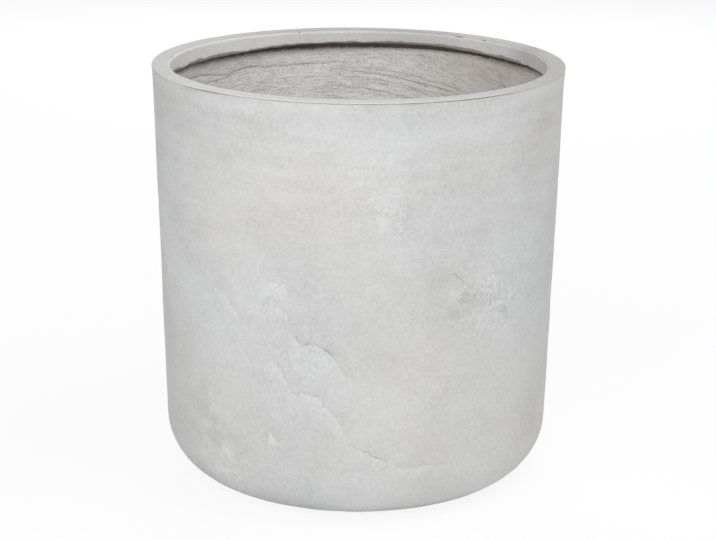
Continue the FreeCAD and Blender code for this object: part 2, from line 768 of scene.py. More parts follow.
class FinishSheet(NodeSheet):
    """Node tree of one finish, whose only shader is a Principled one."""

    def __init__(self, name: str, roughness: float, specular: float) -> None:
        """Start the finish's material.

        Args:
            name: name of the material.
            roughness: roughness all over the surface, unless a pattern is joined to it.
            specular: specular level all over the surface.
        """
        self.material = bpy.data.materials.new(name)
        self.material.use_nodes = True
        super().__init__(self.material.node_tree)
        self.shader = self.node("BsdfPrincipled", {"Roughness": roughness, "Specular IOR Level": specular})
        self.node("OutputMaterial", {"Surface": self.shader.outputs["BSDF"]})
        self.place = self.node("TexCoord").outputs["Object"]

    def noise(self, size: float, detail: float, place: Socket | None = None, warp: float = 0.0) -> Socket:
        """Noise of a size in metres, about 0.5.

        Args:
            size: size of the coarsest blotches in metres.
            detail: how many finer octaves are added.
            place: coordinates to read, or None for the object's own.
            warp: how far the noise distorts itself.

        Returns:
            The noise's value.
        """
        inputs = {"Scale": 1.0 / size, "Detail": detail, "Distortion": warp, "Vector": place or self.place}
        return self.node("TexNoise", inputs).outputs["Fac"]

    def stretched(self, round_axis: float, upright: float = 1.0) -> Socket:
        """The object's coordinates, multiplied by one share round the axis and by another along it."""
        inputs = {"Scale": (round_axis, round_axis, upright), "Vector": self.place}
        return self.node("Mapping", inputs).outputs["Vector"]

    def height(self) -> Socket:
        """Height above the ground in metres."""
        return self.node("SeparateXYZ", {"Vector": self.place}).outputs["Z"]

    def lanes(self, across: Socket, squeeze: float) -> Socket:
        """Coordinates on which round noise becomes strokes round the axis.

        Args:
            across: distance across the strokes in metres, which stands for the height.
            squeeze: share of the real radius that the coordinates keep.

        Returns:
            The coordinates.
        """
        apart = self.node("SeparateXYZ", {"Vector": self.stretched(squeeze)}).outputs
        return self.node("CombineXYZ", {"X": apart["X"], "Y": apart["Y"], "Z": across}).outputs["Vector"]

    def field(self, name: str) -> Socket:
        """Value that the piece carries at each vertex under this name.

        Args:
            name: name of the field.

        Returns:
            The value.
        """
        node = self.node("Attribute")
        node.attribute_name = name
        return node.outputs["Fac"]

    def total(self, parts: Sequence[tuple[Socket, float]]) -> Socket:
        """Sum of values about 0.5, each less 0.5 and times its weight, and 0.5 added again.

        Args:
            parts: values with their weights.

        Returns:
            The sum, about 0.5.
        """
        result: Value = NOISE_MIDDLE * (1.0 - sum(weight for _, weight in parts))
        for value, weight in parts:
            result = self.reckon(Sum.ADD, self.reckon(Sum.TIMES, value, weight), result)
        return result

    def product(self, first: Socket, *factors: Value) -> Socket:
        """The first value times all the other values and plain numbers."""
        for factor in factors:
            first = self.reckon(Sum.TIMES, first, factor)
        return first

    def off_middle(self, noise: Socket) -> Socket:
        """A noise about 0.5, less 0.5."""
        return self.reckon(Sum.TAKE, noise, NOISE_MIDDLE)

    def shifted(self, value: Value, noise: Socket, amount: Value) -> Socket:
        """The value plus a noise about 0.5, less 0.5 and times an amount."""
        return self.reckon(Sum.ADD, self.product(self.off_middle(noise), amount), value)

    def size(self, value: Socket) -> Socket:
        """The value without its sign."""
        return self.reckon(Sum.SIZE, value)

    def span(self, value: Socket, span: Span) -> Socket:
        """Smooth step from 0 where the value is at the span's first number to 1 where it is at its second.

        Args:
            value: value to read.
            span: the two numbers, rising or falling.

        Returns:
            A share from 0 to 1.
        """
        ends = {"To Min": 0.0, "To Max": 1.0} if span[0] < span[1] else {"To Min": 1.0, "To Max": 0.0}
        node = self.node("MapRange", {"Value": value, "From Min": min(span), "From Max": max(span), **ends})
        node.interpolation_type = "SMOOTHSTEP"
        return node.outputs["Result"]

    def hump(self, distance: Socket, peak: float, end: float) -> Socket:
        """Smooth hump beside a line: 0 where the distance is none, 1 at the peak and 0 again at the end."""
        return self.product(self.span(distance, (0.0, peak)), self.span(distance, (end, peak)))

    def ramp(self, value: Socket, stops: Sequence[float], colours: Sequence[Colour]) -> Socket:
        """Colour that runs through the colours as the value goes from stop to stop.

        Args:
            value: value to read.
            stops: values at which the colours are reached.
            colours: a colour for each stop.

        Returns:
            The colour.
        """
        node = self.node("ValToRGB", {"Fac": value})
        elements = node.color_ramp.elements
        while len(elements) < len(stops):
            elements.new(1.0)
        for element, stop, colour in zip(elements, stops, colours):
            element.position = stop
            element.color = linear(colour)
        return node.outputs["Color"]

    def tint(self, share: Socket, colour: Socket, toward: Colour, multiply: bool = False) -> Socket:
        """The colour taken towards another one, or times it, by a share that varies over the surface.

        Args:
            share: how far the colour goes.
            colour: colour to start from.
            toward: the other colour.
            multiply: True to multiply by it.

        Returns:
            The new colour.
        """
        node = self.node("Mix")
        node.data_type = "RGBA"
        node.blend_type = "MULTIPLY" if multiply else "MIX"
        sockets = {socket.identifier: socket for socket in node.inputs}
        self.feed(sockets["Factor_Float"], share)
        self.feed(sockets["A_Color"], colour)
        self.feed(sockets["B_Color"], linear(toward))
        return next(socket for socket in node.outputs if socket.identifier == "Result_Color")

    def emboss(self, height: Socket, depth: float) -> None:
        """Fine relief of this depth in metres, added to the relief that the shader already has.

        Args:
            height: height of the relief from 0 to 1.
            depth: what a height of 1 stands for.
        """
        node = self.node("Bump", {"Distance": depth, "Height": height})
        before = self.shader.inputs["Normal"]
        if before.is_linked:
            self.feed(node.inputs["Normal"], before.links[0].from_socket)
        self.feed(before, node.outputs["Normal"])

    def finish(self, colour: Socket, roughness: Socket | None = None) -> bpy.types.Material:
        """The material, with its colour and its varying roughness joined to the shader.

        Args:
            colour: colour of the surface.
            roughness: roughness where it varies, or None to leave it even.

        Returns:
            The finished material.
        """
        self.feed(self.shader.inputs["Base Color"], colour)
        if roughness is not None:
            self.feed(self.shader.inputs["Roughness"], roughness)
        return self.material


@dataclass(frozen=True)
class WashedCement:
    """Face coat that was rinsed before it set: pale grey, clouded and mottled, with painted shade lines along
    its creases and wrinkles.

    Sizes, widths, peaks and depths are in metres. A share is how much of its colour a mark takes on, and a
    span is where in a noise or a field the mark comes in.
    """

    deep: Colour = (190, 190, 190)
    middle: Colour = (212, 212, 212)
    pale: Colour = (226, 227, 228)
    warm: Colour = (255, 254, 252)
    cool: Colour = (253, 254, 254)
    lime: Colour = (240, 241, 242)
    stained: Colour = (236, 235, 232)
    # Painted shade on the wall just above a crease.
    hollow: Colour = (172, 171, 168)
    # Painted light on the tongue below a crease.
    tongue_light: Colour = (230, 231, 230)
    # Painted highlight along the tongue's edge under a crease.
    lip: Colour = (240, 240, 237)
    # Painted shade in the creases and in the wrinkles' furrows.
    line: Colour = (138, 135, 130)
    # Painted shade in the open seam under the rim.
    seam: Colour = (104, 101, 96)
    roughness: float = 0.9
    specular: float = 0.25
    rough_base: float = 0.78
    rough_swing: float = 0.2
    cloud_size: float = 0.11
    patch_size: float = 0.020
    patch_squeeze: float = 0.6
    mottle_size: float = 0.0055
    grit_size: float = 0.0018
    stroke_size: float = 0.013
    stroke_squeeze: float = 0.14
    stroke_levels: Span = (0.26, 0.46)
    drift_size: float = 0.2
    warm_span: Span = (0.5, 0.75)
    cool_span: Span = (0.5, 0.25)
    bloom_span: Span = (0.25, 0.65)
    bloom_share: float = 0.45
    stain_span: Span = (0.2, 0.7)
    rag: float = 0.008
    rag_size: float = 0.006
    hollow_peak: float = 0.0006
    hollow_width: float = 0.022
    hollow_share: float = 0.2
    tongue_light_peak: float = 0.0008
    tongue_light_width: float = 0.024
    tongue_light_share: float = 0.25
    lip_peak: float = 0.0011
    lip_width: float = 0.003
    lip_span: Span = (0.42, 0.62)
    lip_share: float = 0.5
    line_width: float = 0.0020
    line_span: Span = (0.3, 0.6)
    line_share: float = 0.7
    fleck_size: float = 0.0045
    fleck_span: Span = (0.54, 0.7)
    fleck_share: float = 0.5
    wrinkle_size: float = 0.013
    wrinkle_width: float = 0.03
    wrinkle_fall: float = 0.12
    wrinkle_rough: Span = (0.3, 0.9)
    wrinkle_span: Span = (0.38, 0.6)
    wrinkle_share: float = 0.15
    grain_depth: float = 0.0006
    step_span: Span = (0.0014, -0.0026)
    step_depth: float = 0.0008
    lump_size: float = 0.004
    lump_depth: float = 0.0013
    wrinkle_depth: float = 0.0011

    def material(self) -> bpy.types.Material:
        """Clouds of four sizes through a grey ramp, streaks near the rim, lime bloom, creases and wrinkles.

        Along a crease runs a thin broken line of painted shade, with a soft painted shade above it, and a
        painted highlight on the lip and painted light on the tongue below. The distance from the crease
        strays by a fine noise, which makes all of these ragged.

        Returns:
            The material.
        """
        sheet = FinishSheet("washed_cement", self.roughness, self.specular)
        clouds = sheet.noise(self.cloud_size, detail=4.0, warp=0.3)
        patches = sheet.noise(self.patch_size, detail=3.0, place=sheet.stretched(self.patch_squeeze))
        mottle = sheet.noise(self.mottle_size, detail=2.0)
        grit = sheet.noise(self.grit_size, detail=1.0)
        strokes = sheet.noise(self.stroke_size, detail=3.0, place=sheet.stretched(self.stroke_squeeze))
        streaks = sheet.shifted(NOISE_MIDDLE, strokes, sheet.span(sheet.height(), self.stroke_levels))
        tone = sheet.total([(clouds, 0.42), (patches, 0.21), (mottle, 0.27), (grit, 0.4), (streaks, 0.35)])
        colour = sheet.ramp(tone, TONE_STOPS, (self.deep, self.middle, self.pale))
        drift = sheet.noise(self.drift_size, detail=1.0)
        colour = sheet.tint(sheet.span(drift, self.warm_span), colour, self.warm, multiply=True)
        colour = sheet.tint(sheet.span(drift, self.cool_span), colour, self.cool, multiply=True)
        bloom = sheet.product(sheet.field("bloom"), sheet.span(mottle, self.bloom_span), self.bloom_share)
        colour = sheet.tint(bloom, colour, self.lime)
        stain = sheet.product(sheet.field("stain"), sheet.span(patches, self.stain_span))
        colour = sheet.tint(stain, colour, self.stained, multiply=True)
        side = sheet.shifted(sheet.field("crease_side"), sheet.noise(self.rag_size, detail=3.0), self.rag)
        soft = sheet.field("crease_soft")
        # Painted shade above the crease.
        hollow = sheet.hump(side, self.hollow_peak, self.hollow_width)
        colour = sheet.tint(sheet.product(hollow, soft, self.hollow_share), colour, self.hollow)
        # Painted light on the tongue below the crease.
        tongue_light = sheet.hump(side, -self.tongue_light_peak, -self.tongue_light_width)
        colour = sheet.tint(sheet.product(tongue_light, soft, self.tongue_light_share), colour, self.tongue_light)
        # Painted highlight on the tongue's lip.
        lip = sheet.product(sheet.hump(side, -self.lip_peak, -self.lip_width), soft)
        lip = sheet.product(lip, sheet.span(mottle, self.lip_span), self.lip_share)
        colour = sheet.tint(lip, colour, self.lip)
        # A thin painted shade line in the crease.
        line = sheet.product(sheet.span(sheet.size(side), (self.line_width, 0.0)), sheet.field("crease_line"))
        line = sheet.product(line, sheet.span(mottle, self.line_span), self.line_share)
        colour = sheet.tint(line, colour, self.line)
        rough = sheet.field("rough")
        flecks = sheet.span(sheet.noise(self.fleck_size, detail=3.0), self.fleck_span)
        colour = sheet.tint(sheet.product(flecks, rough, self.fleck_share), colour, self.lime)
        # Wrinkles on rough places, with a painted shade line in each furrow.
        fold = sheet.size(sheet.off_middle(sheet.noise(self.wrinkle_size, detail=3.0, warp=0.8)))
        wrinkled = sheet.span(rough, self.wrinkle_rough)
        wrinkled = sheet.product(wrinkled, sheet.span(patches, self.wrinkle_span))
        wrinkle = sheet.product(sheet.span(fold, (self.wrinkle_width, 0.0)), wrinkled, self.wrinkle_share)
        colour = sheet.tint(wrinkle, colour, self.line)
        # Painted shade in the open seam.
        colour = sheet.tint(sheet.field("seam"), colour, self.seam)
        sheet.emboss(sheet.total([(patches, 0.5), (mottle, 0.6), (grit, 0.4)]), self.grain_depth)
        sheet.emboss(sheet.product(sheet.span(side, self.step_span), soft), self.step_depth)
        sheet.emboss(sheet.product(sheet.noise(self.lump_size, detail=2.0), rough), self.lump_depth)
        sheet.emboss(sheet.product(sheet.span(fold, (0.0, self.wrinkle_fall)), wrinkled), self.wrinkle_depth)
        roughness = sheet.reckon(Sum.ADD, sheet.product(mottle, self.rough_swing), self.rough_base)
        return sheet.finish(colour, roughness)


@dataclass(frozen=True)
class CastCement:
    """Smooth cast collar: even pale grey with trowel clouds, and bare brown-grey where the lip broke,
    darkened as painted shade under the lip.
    """

    deep: Colour = (226, 226, 225)
    middle: Colour = (240, 240, 239)
    pale: Colour = (249, 249, 248)
    # Painted shade on the rim's top and on the outer face of its edge.
    rim_shade: Colour = (208, 208, 208)
    # Darker by a share that changes round the ring.
    round_darkening: Colour = (225, 224, 222)
    # Painted highlight along the lower edge of the collar's face.
    arris: Colour = (224, 219, 213)
    # Brown-grey of the bare break, darkened as painted shade where the lip's rounding faces down.
    broken: Colour = (163, 156, 148)
    # Painted shade in the recess under the lip.
    recess: Colour = (100, 91, 84)
    # Painted shade in the chips on the rim's inner edge.
    chipped: Colour = (140, 138, 134)
    # Painted shade in the open seam under the rim.
    seam: Colour = (104, 101, 96)
    roughness: float = 0.85
    specular: float = 0.3
    cloud_size: float = 0.05
    mottle_size: float = 0.006
    grit_size: float = 0.002
    rag: float = 0.35
    rag_size: float = 0.005
    arris_span: Span = (0.25, 0.4)
    broken_span: Span = (0.42, 0.58)
    broken_sink: float = 0.8
    grain_depth: float = 0.0006

    def material(self) -> bpy.types.Material:
        """Two sizes of cloud through a grey ramp, painted shade on the rim's top and outer edge, darker by
        angle round the ring, then the broken lip and chips.

        A break has a beige painted highlight along its edge and brown-grey inside it, partly painted shade,
        and a noise makes both ragged.

        Returns:
            The material.
        """
        sheet = FinishSheet("cast_cement", self.roughness, self.specular)
        clouds = sheet.noise(self.cloud_size, detail=4.0)
        mottle = sheet.noise(self.mottle_size, detail=3.0)
        grit = sheet.noise(self.grit_size, detail=1.0)
        tone = sheet.total([(clouds, 0.5), (mottle, 0.4), (grit, 0.3)])
        colour = sheet.ramp(tone, TONE_STOPS, (self.deep, self.middle, self.pale))
        # Painted shade on the rim's top and outer edge.
        colour = sheet.tint(sheet.field("rim_shade"), colour, self.rim_shade, multiply=True)
        # Darker by a share that changes round the ring.
        colour = sheet.tint(sheet.field("round_darkening"), colour, self.round_darkening, multiply=True)
        bare = sheet.shifted(sheet.field("broken"), sheet.noise(self.rag_size, detail=3.0), self.rag)
        # Painted highlight along the lip's edge.
        colour = sheet.tint(sheet.span(bare, self.arris_span), colour, self.arris)
        # Brown-grey of the bare break, with painted shade.
        colour = sheet.tint(sheet.span(bare, self.broken_span), colour, self.broken)
        # Painted shade in the recess under the lip.
        colour = sheet.tint(sheet.field("recess"), colour, self.recess)
        # Painted shade in the chips.
        colour = sheet.tint(sheet.field("chipped"), colour, self.chipped)
        # Painted shade in the open seam.
        colour = sheet.tint(sheet.field("seam"), colour, self.seam)
        relief = sheet.total([(clouds, 0.4), (mottle, 0.6), (grit, 0.3)])
        relief = sheet.reckon(Sum.TAKE, relief, sheet.product(bare, self.broken_sink))
        sheet.emboss(relief, self.grain_depth)
        return sheet.finish(colour)


@dataclass(frozen=True)
class BrushedCement:
    """Lining coat brushed on by hand: warm pale grey with fine brush lines and thin shades under laps."""

    deep: Colour = (192, 191, 188)
    middle: Colour = (232, 231, 228)
    pale: Colour = (243, 242, 240)
    # Darker and warmer towards the right side of the lining.
    right_darkening: Colour = (238, 233, 231)
    # Painted shade in the brush grooves.
    groove: Colour = (168, 164, 159)
    lap_shade: Colour = (138, 134, 129)
    # Painted shadow under the collar's lip, darkest in the gap right under it.
    lip_shadow: Colour = (132, 125, 118)
    gap: Colour = (96, 89, 82)
    roughness: float = 0.9
    specular: float = 0.2
    cloud_size: float = 0.06
    break_size: float = 0.025
    grit_size: float = 0.0015
    combed_size: float = 0.0046
    combed_squeeze: float = 0.07
    fine_size: float = 0.0021
    fine_squeeze: float = 0.14
    groove_width: float = 0.03
    groove_span: Span = (0.45, 0.65)
    groove_share: float = 0.3
    lap_width: float = 0.0013
    lap_rag: float = 0.002
    lap_span: Span = (0.25, 0.5)
    lap_share: float = 0.75
    lip_shadow_span: Span = (0.0, 0.5)
    gap_rag: float = 0.6
    gap_rag_size: float = 0.007
    gap_span: Span = (0.6, 1.0)
    groove_sink: float = 0.3
    grain_depth: float = 0.0014

    def material(self) -> bpy.types.Material:
        """Clouds and two sizes of brush line through a warm ramp, grooves with painted shade, laps and
        painted shadow under the collar.

        The brush lines are noises on coordinates squeezed round the axis, so that each line runs far round. A
        groove lies where the coarser one passes through its middle, and breaks off where a cloud is weak.

        Returns:
            The material.
        """
        sheet = FinishSheet("brushed_cement", self.roughness, self.specular)
        clouds = sheet.noise(self.cloud_size, detail=3.0)
        breaks = sheet.noise(self.break_size, detail=2.0)
        grit = sheet.noise(self.grit_size, detail=1.0)
        across = sheet.field("across")
        combed = sheet.noise(self.combed_size, detail=1.0, place=sheet.lanes(across, self.combed_squeeze))
        fine = sheet.noise(self.fine_size, detail=1.0, place=sheet.lanes(across, self.fine_squeeze))
        tone = sheet.total([(combed, 0.12), (fine, 0.6), (clouds, 0.29), (grit, 1.1)])
        colour = sheet.ramp(tone, TONE_STOPS, (self.deep, self.middle, self.pale))
        # Darker and warmer towards the right side.
        colour = sheet.tint(sheet.field("flush"), colour, self.right_darkening, multiply=True)
        # Painted shade in the brush grooves.
        groove = sheet.span(sheet.size(sheet.off_middle(combed)), (self.groove_width, 0.0))
        groove = sheet.product(groove, sheet.span(breaks, self.groove_span))
        colour = sheet.tint(sheet.product(groove, self.groove_share), colour, self.groove)
        side = sheet.shifted(sheet.field("lap_side"), grit, self.lap_rag)
        lap = sheet.product(sheet.span(sheet.size(side), (self.lap_width, 0.0)), sheet.field("lap_line"))
        lap = sheet.product(lap, sheet.span(fine, self.lap_span), self.lap_share)
        colour = sheet.tint(lap, colour, self.lap_shade)
        # Painted shadow under the collar, darkest in the gap just below the lip.
        lip_shadow = sheet.product(sheet.field("lip_shadow"), sheet.span(breaks, self.lip_shadow_span))
        colour = sheet.tint(lip_shadow, colour, self.lip_shadow)
        gap = sheet.shifted(sheet.field("lip_shadow"), sheet.noise(self.gap_rag_size, detail=3.0), self.gap_rag)
        colour = sheet.tint(sheet.span(gap, self.gap_span), colour, self.gap)
        relief = sheet.total([(combed, 0.22), (fine, 0.75), (grit, 0.8)])
        relief = sheet.reckon(Sum.TAKE, relief, sheet.product(groove, self.groove_sink))
        sheet.emboss(relief, self.grain_depth)
        return sheet.finish(colour)


@dataclass(frozen=True)
class GlassFibre:
    """Mat of pale chopped strands, wetted grey by the cement on either side."""

    strand: Colour = (214, 214, 206)
    wetted: Colour = (168, 167, 158)
    roughness: float = 0.55
    specular: float = 0.4
    strand_size: float = 0.004
    upright_squeeze: float = 0.08
    round_squeeze: float = 0.1
    strand_span: Span = (0.45, 0.7)
    strand_depth: float = 0.0005

    def material(self) -> bpy.types.Material:
        """Two sets of strands, each a noise drawn out one way, where either one is strong.

        Returns:
            The material.
        """
        sheet = FinishSheet("glass_fibre", self.roughness, self.specular)
        along, across = (
            sheet.noise(self.strand_size, detail=3.0, place=place, warp=0.6)
            for place in (sheet.stretched(1.0, self.upright_squeeze), sheet.stretched(self.round_squeeze))
        )
        strands = sheet.reckon(Sum.MOST, along, across)
        sheet.emboss(strands, self.strand_depth)
        return sheet.finish(sheet.ramp(strands, self.strand_span, (self.wetted, self.strand)))


@dataclass(frozen=True)
class MouldedRubber:
    """Black moulded rubber with a dusty bloom."""

    black: Colour = (34, 34, 35)
    bloom: Colour = (66, 65, 63)
    roughness: float = 0.6
    specular: float = 0.4
    rough_base: float = 0.45
    rough_swing: float = 0.3
    bloom_size: float = 0.012
    bloom_span: Span = (0.35, 0.75)
    grain_size: float = 0.0007
    grain_depth: float = 0.0001

    def material(self) -> bpy.types.Material:
        """Black with patches of bloom and a fine moulded grain.

        Returns:
            The material.
        """
        sheet = FinishSheet("moulded_rubber", self.roughness, self.specular)
        bloom = sheet.noise(self.bloom_size, detail=4.0)
        sheet.emboss(sheet.noise(self.grain_size, detail=1.0), self.grain_depth)
        roughness = sheet.reckon(Sum.ADD, sheet.product(bloom, self.rough_swing), self.rough_base)
        return sheet.finish(sheet.ramp(bloom, self.bloom_span, (self.black, self.bloom)), roughness)


def fit(piece: bpy.types.Object, body: Body, node: Node, material: bpy.types.Material) -> None:
    """Put a finished piece in its solid's place.

    Args:
        piece: the finished piece.
        body: body that it moves with.
        node: construction solid that it stands for.
        material: finish of the piece.
    """
    piece.data.materials.append(material)
    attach(piece, body.value)
    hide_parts(node.value)
    LOG.info("%s: %d faces, for %s", piece.name, len(piece.data.polygons), node.value)


@dataclass(frozen=True)
class Seam:
    """Joint between the wall and the rim's cap, open in places and filled in others, with painted shade where
    it is open.

    How open it is runs smoothly through the places, in degrees round from the front.
    """

    places: Route = (
        (-180.0, 0.5), (-110.0, 0.5), (-70.0, 0.15), (-57.0, 0.3), (-44.0, 0.9), (-30.0, 0.7), (-9.0, 0.65),
        (15.0, 0.75), (28.0, 1.1), (42.0, 0.7), (60.0, 0.15), (110.0, 0.4), (180.0, 0.5),
    )
    cloud_size: float = 0.05
    cloud_mean: float = 0.8
    cloud_swing: float = 0.5

    def open_share(self, skin: TurnedSkin) -> Array:
        """How open the seam is at each grid point, which is how much painted shade it takes.

        Args:
            skin: grid of a piece beside the seam.

        Returns:
            A value from 0 to 1, by rows and columns: the line through the places, times a cloud.
        """
        cloud = Grain(27).clouds(skin.flattened(), self.cloud_size, octaves=3)
        cloud = self.cloud_mean + self.cloud_swing * cloud
        return np.clip(skin.round_table(smooth_route(self.places)) * cloud, 0.0, 1.0)


@dataclass(frozen=True)
class FaceShell:
    """Washed outer wall with the rounded bottom edge and the underside.

    Lengths are in metres. Two more groups of marks, like those of the front, are turned from it by degrees
    and lifted by millimetres.
    """

    form: PotForm
    columns: int = 512
    wall_spacing: float = 0.0030
    upper_level: float = 0.335
    upper_spacing: float = 0.0062
    base_spacing: float = 0.0042
    under_spacing: float = 0.012
    hidden_spacing: float = 0.060
    hidden_edge: float = 0.0004
    drain_edge: float = 0.0015
    top_edge: float = 0.0008
    right_turn: float = 124.0
    right_lift: float = -22.0
    left_turn: float = -121.0
    left_lift: float = 34.0
    face_span: Span = (0.02, 0.35)
    calm_reach: float = 0.02
    swell_size: float = 0.09
    swell_depth: float = 0.0005
    wander_size: float = 0.024
    wander: float = 0.003
    uneven_size: float = 0.035
    uneven_mean: float = 0.75
    uneven_swing: float = 0.8
    uneven_least: float = 0.15
    patch_size: float = 0.16
    patch_span: Span = (0.0, 0.6)
    patch_rough: float = 0.25
    tongue_span: Span = (0.002, -0.004)
    tongue_rough: float = 0.7
    coat_size: float = 0.016
    coat_least: float = 0.3
    rough_depth: float = 0.00025
    flush_swell: float = 0.0006
    flush_reach: float = 0.020
    groove_span: Span = (0.05, 0.5)

    def front_creases(self) -> list[Crease]:
        """Creases of the front: two tongues with fringes on the left, a swirl of short ones on the right.

        Returns:
            Creases, from the left fringe over the tongues to the swirl.
        """
        upper_tongue = (
            (-19, 243), (-16.5, 233), (-14.5, 227), (-12, 229), (-7.5, 220), (-4.5, 204), (-3, 193),
            (-2.5, 182),
        )
        lower_tongue = (
            (-23.5, 206), (-22.5, 200), (-19.5, 182), (-18, 171), (-16, 167), (-13, 166.5), (-10.5, 165),
            (-8.5, 157), (-6.5, 148), (-5, 138), (-4, 124), (-3.5, 114),
        )
        left_fringe = ((-45, 285), (-43.5, 279), (-41, 277), (-37.5, 268), (-34.5, 253), (-32.5, 240))
        swirl = (
            (25, 312), (27, 308), (28, 303), (29.5, 296), (31.5, 290), (33, 285.5), (35, 284), (36, 278),
            (38, 272),
        )
        run_off = ((-3.5, 108), (1, 100), (5, 93), (7.5, 87.5), (10, 84))
        return [
            Crease(left_fringe, 0.0007, (0.15,)),
            Crease(((-46.5, 271), (-43.5, 263), (-40, 239), (-35, 220)), 0.0002, (0.0,)),
            Crease(((-27, 293), (-24.5, 300), (-21.5, 300), (-19.5, 296), (-18, 277)), 0.0007, (0.1,)),
            Crease(((-32.5, 266), (-28.5, 270), (-22.5, 269), (-20, 264), (-17.5, 247)), 0.0009, (0.1,)),
            Crease(upper_tongue, 0.0020, (0.7, 0.9, 1.0, 1.0, 0.8, 0.6, 0.45, 0.3)),
            Crease(lower_tongue, 0.0016, (0.2, 0.3, 0.5, 0.9, 1.4, 1.4, 1.2, 0.6, 0.3, 0.2, 0.1, 0.0)),
            Crease(run_off, 0.0007, (0.7, 0.8, 0.9, 0.6, 0.2)),
            Crease(((10.5, 80), (13.5, 77), (21.5, 77), (28.5, 72)), 0.0006, (0.3,)),
            Crease(((-32, 122), (-29.5, 130), (-27, 127), (-25.5, 117)), 0.0009, (0.8,)),
            Crease(((-29.5, 107), (-27, 116), (-24.5, 114), (-21, 101)), 0.0009, (0.4,)),
            Crease(((11, 349), (13.5, 352), (16.5, 356)), 0.0004, (0.25,)),
            Crease(swirl, 0.0004, (0.7,)),
            Crease(((29, 317), (30, 314), (31, 309), (32.5, 307), (34.5, 306)), 0.0003, (0.5,)),
            Crease(((37, 318), (39.5, 309), (42, 300), (45, 293), (49, 271)), 0.0004, (0.35,)),
            Crease(((37.5, 234), (42, 239), (44.5, 230), (47, 220)), 0.0006, (0.3,)),
            Crease(((43, 252), (46, 242), (51.5, 216)), 0.0006, (0.2,)),
        ]

    def front_spots(self) -> list[Spot]:
        """Spots of the front: rough bright lumps on the left, and a hollow in a rough swirl on the right."""
        return [
            Spot(-23.0, 290, 0.015, height=0.0006, bloom=0.8, rough=1.0),
            Spot(-25.0, 264, 0.012, height=0.0004, bloom=0.5, rough=0.9),
            Spot(-9.0, 207, 0.013, bloom=0.6, rough=0.4),
            Spot(-9.0, 149, 0.013, bloom=0.5),
            Spot(-45.5, 144, 0.007, height=0.0017, bloom=0.6),
            Spot(-42.5, 108, 0.009, height=0.0016, bloom=0.5),
            Spot(-39.5, 79, 0.009, height=0.0016, bloom=0.6),
            Spot(-50.5, 63, 0.010, height=0.0016, bloom=0.4),
            Spot(-25.5, 106, 0.010, height=0.0008, bloom=0.4),
            Spot(-44.0, 102, 0.062, rough=0.55, stain=1.0),
            Spot(-28.5, 184, 0.004, height=-0.0009),
            Spot(-34.5, 158, 0.004, height=-0.0007),
            Spot(6.5, 371, 0.006, height=0.0005, bloom=0.6),
            Spot(9.0, 386, 0.007, height=0.0005, bloom=0.7),
            Spot(11.0, 372, 0.045, rough=0.6),
            Spot(25.5, 280, 0.040, stain=0.9),
            Spot(29.5, 253, 0.022, height=-0.0015),
            Spot(20.8, 77, 0.040, stain=0.8),
            Spot(-17.4, 212, 0.030, bloom=0.4),
            Spot(2.0, 415, 0.040, bloom=0.4),
            Spot(38.0, 288, 0.012, bloom=0.5, rough=0.6),
            Spot(46.0, 268, 0.013, bloom=0.4, rough=0.6),
            Spot(36.0, 245, 0.012, bloom=0.5),
            Spot(40.0, 262, 0.060, rough=0.8),
            Spot(31.5, 283, 0.010, bloom=0.5, rough=0.6),
            Spot(21.8, 307, 0.020, stain=0.35),
            Spot(29.7, 269, 0.026, stain=0.5),
            Spot(7.8, 214, 0.045, stain=0.55),
            Spot(55.4, 165, 0.050, stain=0.3),
            Spot(59.3, 89, 0.050, stain=0.3),
            Spot(-2.0, 470, 0.050, stain=0.35),
            Spot(-1.0, 366, 0.040, stain=0.3),
            Spot(-39.0, 47, 0.030, bloom=0.6),
            Spot(41.0, 274, 0.035, bloom=0.5),
            Spot(-46.0, 38, 0.028, bloom=0.5),
            Spot(-8.5, 100, 0.045, stain=0.4),
            Spot(38.5, 202, 0.040, stain=0.3),
            Spot(60.0, 475, 0.040, stain=0.5),
            Spot(-52.0, 441, 0.040, stain=0.35),
            Spot(25.0, 471, 0.030, stain=0.35),
        ]

    def all_round(self, front: Sequence[Mark]) -> list[Mark]:
        """The marks of the front, and two more groups like them that fill the rest of the wall.

        Args:
            front: creases or spots of the front.

        Returns:
            All of them, the front's first.
        """
        right = [mark.moved(self.right_turn, self.right_lift, mirrored=True) for mark in front]
        left = [mark.moved(self.left_turn, self.left_lift) for mark in front]
        return [*front, *right, *left]

    def corners(self) -> list[Corner]:
        """Profile of the coat, from the drain hole under the pot, up the wall and back down inside.

        Returns:
            Corners in anticlockwise order.
        """
        form = self.form
        outside = form.cup_line(0.0, self.drain_edge, self.under_spacing)
        outside[-1] = replace(outside[-1], spacing=self.wall_spacing, arc_spacing=self.base_spacing)
        inside = form.cup_line(form.shell_thickness, self.hidden_edge, self.hidden_spacing)
        seam, split = form.seam_level, self.upper_level
        inner = form.wall_radius(form.shell_thickness, seam)
        top = [
            Corner(form.wall_radius(0.0, split), split, 0.0, self.upper_spacing),
            Corner(form.wall_radius(0.0, seam), seam, self.top_edge, self.wall_spacing),
            Corner(inner, seam, self.hidden_edge, self.hidden_spacing),
        ]
        return outside + top + inside[::-1]

